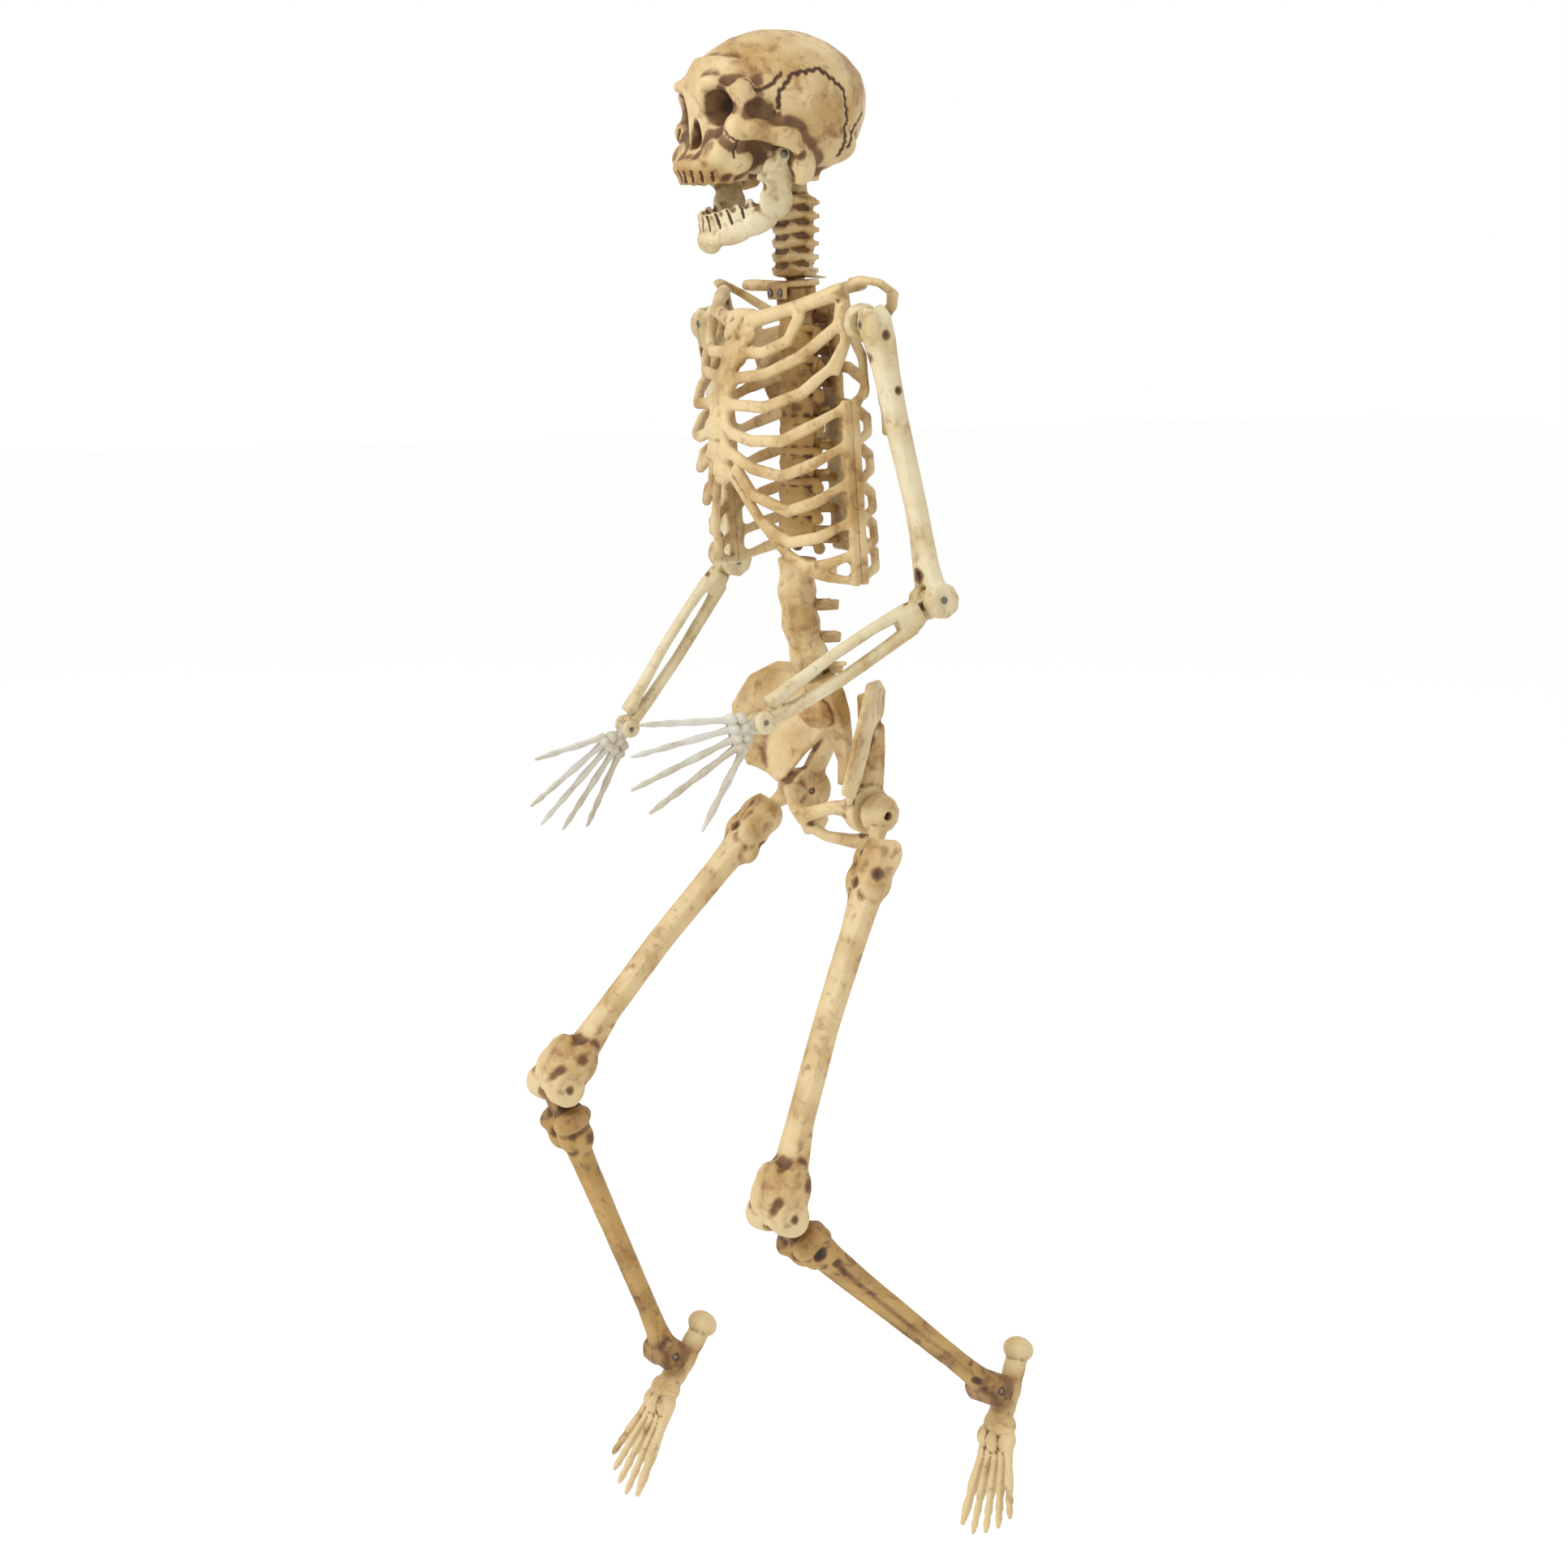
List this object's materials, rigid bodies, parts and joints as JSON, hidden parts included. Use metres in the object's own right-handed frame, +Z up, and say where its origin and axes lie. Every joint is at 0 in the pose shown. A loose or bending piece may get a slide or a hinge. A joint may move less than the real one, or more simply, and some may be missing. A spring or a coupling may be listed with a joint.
{
  "type": "halloween skeleton figure",
  "caption": "Jointed hanging skeleton in bone-coloured plastic with an open jaw, a rib cage in two shells, bolted hips, knees and ankles, and bent limbs.",
  "frame": {"origin": "centre of the neck where it stands on the collar, on the line that the figure hangs by", "axes": "+Z up along the hanging line, the figure faces -Y and its left side is +X; stored in the walking pose"},
  "size_m": [0.5128, 0.4602, 1.4732],
  "materials": {
    "tan_bone": "bone-coloured plastic with a brown antique wash in the hollows",
    "pale_bone": "paler bone-coloured plastic with a thin brown wash",
    "brown_bone": "bone-coloured plastic under a heavy brown wash",
    "zinc_steel": "zinc-plated steel, dulled"
  },
  "bodies": {
    "torso": {"rib_cage_front": "tan_bone", "rib_cage_rear": "tan_bone", "thoracic_spine": "brown_bone", "lumbar_spine": "tan_bone", "collar_band": "tan_bone", "spine_screw": "zinc_steel", "collar_screw_left": "zinc_steel", "collar_screw_right": "zinc_steel", "scapula_left": "tan_bone", "hip_bone_left": "tan_bone", "scapula_right": "tan_bone", "hip_bone_right": "tan_bone"},
    "neck": {"neck": "tan_bone"},
    "skull": {"skull_face": "tan_bone", "skull_back": "tan_bone", "nod_screw": "zinc_steel", "jaw_screw_left": "zinc_steel", "jaw_screw_right": "zinc_steel"},
    "jaw": {"mandible": "pale_bone"},
    "left_shoulder": {"shoulder_knuckle_left": "pale_bone", "shoulder_bolt_left": "zinc_steel"},
    "left_upper_arm": {"humerus_left_outer": "pale_bone", "humerus_left_inner": "pale_bone", "shoulder_pin_left": "zinc_steel", "elbow_bolt_left": "zinc_steel"},
    "left_forearm": {"forearm_left": "pale_bone", "wrist_bolt_left": "zinc_steel"},
    "left_hand": {"hand_left": "pale_bone"},
    "left_hip": {"hip_knuckle_left": "tan_bone", "hip_bolt_left": "zinc_steel"},
    "left_thigh": {"femur_left_outer": "tan_bone", "femur_left_inner": "tan_bone", "hip_pin_left": "zinc_steel", "knee_bolt_left": "zinc_steel"},
    "left_shin": {"tibia_left_outer": "brown_bone", "tibia_left_inner": "brown_bone", "ankle_bolt_left": "zinc_steel"},
    "left_foot": {"foot_left": "tan_bone"},
    "right_shoulder": {"shoulder_knuckle_right": "pale_bone", "shoulder_bolt_right": "zinc_steel"},
    "right_upper_arm": {"humerus_right_outer": "pale_bone", "humerus_right_inner": "pale_bone", "shoulder_pin_right": "zinc_steel", "elbow_bolt_right": "zinc_steel"},
    "right_forearm": {"forearm_right": "pale_bone", "wrist_bolt_right": "zinc_steel"},
    "right_hand": {"hand_right": "pale_bone"},
    "right_hip": {"hip_knuckle_right": "tan_bone", "hip_bolt_right": "zinc_steel"},
    "right_thigh": {"femur_right_outer": "tan_bone", "femur_right_inner": "tan_bone", "hip_pin_right": "zinc_steel", "knee_bolt_right": "zinc_steel"},
    "right_shin": {"tibia_right_outer": "brown_bone", "tibia_right_inner": "brown_bone", "ankle_bolt_right": "zinc_steel"},
    "right_foot": {"foot_right": "tan_bone"}
  },
  "joints": [
    {"name": "neck_turn", "type": "hinge", "parent": "torso", "child": "neck", "pos_m": [0, 0, 0], "axis": [0, -0.0767, 0.9971], "range_deg": [-70, 70]},
    {"name": "head_nod", "type": "hinge", "parent": "neck", "child": "skull", "pos_m": [0, 0.0033, 0.1005], "axis": [1, 0, 0], "range_deg": [-15, 15]},
    {"name": "jaw", "type": "hinge", "parent": "skull", "child": "jaw", "pos_m": [0, -0.044, 0.113], "axis": [1, 0, 0], "range_deg": [-21, 5]},
    {"name": "left_shoulder_swing", "type": "hinge", "parent": "torso", "child": "left_shoulder", "pos_m": [0.135, -0.00853, -0.03907], "axis": [1, 0, 0], "range_deg": [-100, 30]},
    {"name": "left_shoulder_raise", "type": "hinge", "parent": "left_shoulder", "child": "left_upper_arm", "pos_m": [0.155, -0.00853, -0.03907], "axis": [0, 0.9871, 0.1599], "range_deg": [-66, 7]},
    {"name": "left_elbow", "type": "hinge", "parent": "left_upper_arm", "child": "left_forearm", "pos_m": [0.19625, 0.03219, -0.29047], "axis": [0.9871, -0.0256, 0.1578], "range_deg": [-46, 68]},
    {"name": "left_wrist", "type": "hinge", "parent": "left_forearm", "child": "left_hand", "pos_m": [0.20667, -0.15561, -0.38609], "axis": [0.9871, -0.0256, 0.1578], "range_deg": [-30, 48]},
    {"name": "left_hip_swing", "type": "hinge", "parent": "torso", "child": "left_hip", "pos_m": [0.08, 0.04891, -0.51176], "axis": [1, 0, 0], "range_deg": [-60, 45]},
    {"name": "left_hip_raise", "type": "hinge", "parent": "left_hip", "child": "left_thigh", "pos_m": [0.101, 0.03142, -0.54994], "axis": [0, 0.9092, -0.4163], "range_deg": [-14, 12]},
    {"name": "left_knee", "type": "hinge", "parent": "left_thigh", "child": "left_shin", "pos_m": [0.16265, -0.11411, -0.86782], "axis": [0.9848, 0.0723, 0.1579], "range_deg": [-68, 32]},
    {"name": "left_ankle", "type": "hinge", "parent": "left_shin", "child": "left_foot", "pos_m": [0.18096, 0.12119, -1.0898], "axis": [0.9848, 0.0723, 0.1579], "range_deg": [-34, 24]},
    {"name": "right_shoulder_swing", "type": "hinge", "parent": "torso", "child": "right_shoulder", "pos_m": [-0.135, -0.00853, -0.03907], "axis": [1, 0, 0], "range_deg": [-100, 28]},
    {"name": "right_shoulder_raise", "type": "hinge", "parent": "right_shoulder", "child": "right_upper_arm", "pos_m": [-0.155, -0.00853, -0.03907], "axis": [0, 0.9781, 0.2079], "range_deg": [-11, 62]},
    {"name": "right_elbow", "type": "hinge", "parent": "right_upper_arm", "child": "right_forearm", "pos_m": [-0.21216, 0.04378, -0.28516], "axis": [0.9751, 0.0461, -0.2167], "range_deg": [-75, 38]},
    {"name": "right_wrist", "type": "hinge", "parent": "right_forearm", "child": "right_hand", "pos_m": [-0.2469, -0.06253, -0.46408], "axis": [0.9751, 0.0461, -0.2167], "range_deg": [-36, 40]},
    {"name": "right_hip_swing", "type": "hinge", "parent": "torso", "child": "right_hip", "pos_m": [-0.08, 0.04891, -0.51176], "axis": [1, 0, 0], "range_deg": [-38, 66]},
    {"name": "right_hip_raise", "type": "hinge", "parent": "right_hip", "child": "right_thigh", "pos_m": [-0.101, 0.01839, -0.54061], "axis": [0, 0.6871, -0.7266], "range_deg": [-2, 24]},
    {"name": "right_knee", "type": "hinge", "parent": "right_thigh", "child": "right_shin", "pos_m": [-0.06389, -0.23813, -0.78319], "axis": [0.9945, 0.0759, 0.0718], "range_deg": [-64, 36]},
    {"name": "right_ankle", "type": "hinge", "parent": "right_shin", "child": "right_foot", "pos_m": [-0.05066, -0.12469, -1.0864], "axis": [0.9945, 0.0759, 0.0718], "range_deg": [-46, 12]}
  ]
}
